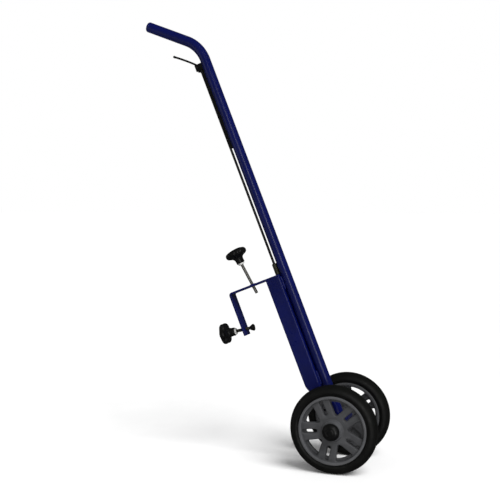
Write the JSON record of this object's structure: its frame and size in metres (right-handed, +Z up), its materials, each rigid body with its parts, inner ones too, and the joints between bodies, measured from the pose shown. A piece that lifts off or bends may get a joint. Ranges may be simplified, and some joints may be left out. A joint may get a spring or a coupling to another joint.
{
  "type": "drum dolly",
  "caption": "Wheeled drum dolly: a leaning tube column with a bent grip, a hook for the drum's rim, hand clamp screws and a squeeze-lever catch.",
  "frame": {"origin": "on the floor midway between the two wheels, straight below the axle's centre", "axes": "+Z up; +X away from the load, so the column leans towards -X, over the load; +Y along the axle from the left wheel to the right wheel, as seen by a person facing the load"},
  "size_m": [0.6014, 0.236, 1.0642],
  "materials": {
    "blue_paint": "gloss",
    "zinc": "satin",
    "dark_steel": "satin",
    "black_paint": "satin",
    "black_plastic": "satin",
    "grey_plastic": "satin",
    "tyre_rubber": "matte",
    "pad_rubber": "matte"
  },
  "bodies": {
    "frame": {"column_tube": "blue_paint", "grip_plug": "blue_paint", "channel": "blue_paint", "rim_hook": "blue_paint", "hook_thread_insert": "blue_paint", "leg_thread_insert": "blue_paint", "weld_seams": "blue_paint", "axle_boss": "blue_paint", "axle": "zinc", "inner_washers": "zinc", "outer_washers": "zinc", "retaining_clips": "zinc", "lever_lug": "black_paint", "lever_pin": "black_paint", "rod_guide": "black_paint", "spring_housing": "dark_steel", "return_spring": "zinc", "catch_guide": "blue_paint"},
    "left_wheel": {"left_tyre": "tyre_rubber", "left_rim": "grey_plastic", "left_bushes": "black_plastic", "left_hub_cap": "black_plastic"},
    "right_wheel": {"right_tyre": "tyre_rubber", "right_rim": "grey_plastic", "right_bushes": "black_plastic", "right_hub_cap": "black_plastic"},
    "top_ring": {"top_washer": "zinc"},
    "top_screw": {"top_screw_rod": "zinc", "top_knob": "black_plastic", "top_knob_bush": "zinc"},
    "side_ring": {"side_washer": "zinc"},
    "side_screw": {"side_screw_rod": "dark_steel", "side_knob": "black_plastic", "side_knob_bush": "zinc"},
    "swivel_pad": {"side_pad": "pad_rubber"},
    "lever": {"squeeze_lever": "black_paint"},
    "rod": {"push_rod": "black_paint", "rod_head": "black_paint", "spring_collar": "zinc"}
  },
  "joints": [
    {"name": "left_wheel_spin", "type": "hinge", "parent": "frame", "child": "left_wheel", "pos_m": [0, -0.079, 0.1015], "axis": [0, 1, 0], "continuous": true},
    {"name": "right_wheel_spin", "type": "hinge", "parent": "frame", "child": "right_wheel", "pos_m": [0, 0.079, 0.1015], "axis": [0, 1, 0], "continuous": true},
    {"name": "top_screw_travel", "type": "slide", "parent": "frame", "child": "top_ring", "axis": [0.4955, 0, -0.8686], "range_m": [-0.014, 0.05]},
    {"name": "top_knob_turn", "type": "hinge", "parent": "top_ring", "child": "top_screw", "pos_m": [-0.22051, 0, 0.41573], "axis": [0.4955, 0, -0.8686], "range_deg": [-3960, 14400]},
    {"name": "side_screw_travel", "type": "slide", "parent": "frame", "child": "side_ring", "axis": [0.9673, 0, 0.2538], "range_m": [-0.009, 0.016]},
    {"name": "side_knob_turn", "type": "hinge", "parent": "side_ring", "child": "side_screw", "pos_m": [-0.24048, 0, 0.30823], "axis": [0.9673, 0, 0.2538], "range_deg": [-2520, 4590]},
    {"name": "pad_tilt", "type": "hinge", "parent": "side_ring", "child": "swivel_pad", "pos_m": [-0.22191, 0, 0.31311], "axis": [0, 1, 0], "range_deg": [-6, 6]},
    {"name": "lever_squeeze", "type": "hinge", "parent": "frame", "child": "lever", "pos_m": [-0.36256, 0, 0.94416], "axis": [0, 1, 0], "range_deg": [0, 20], "stiffness_Nm_per_rad": 0.15, "springref_deg": -20.05},
    {"name": "rod_travel", "type": "slide", "parent": "frame", "child": "rod", "axis": [0.3697, 0, -0.9291], "range_m": [0, 0.0022], "deforming": ["return_spring"]}
  ],
  "couplings": [
    {"joint": "top_screw_travel", "follows": "top_knob_turn", "m_per_rad": 0.00019894},
    {"joint": "side_screw_travel", "follows": "side_knob_turn", "m_per_rad": 0.00019894},
    {"joint": "rod_travel", "follows": "lever_squeeze", "m_per_rad": 0.0063}
  ]
}
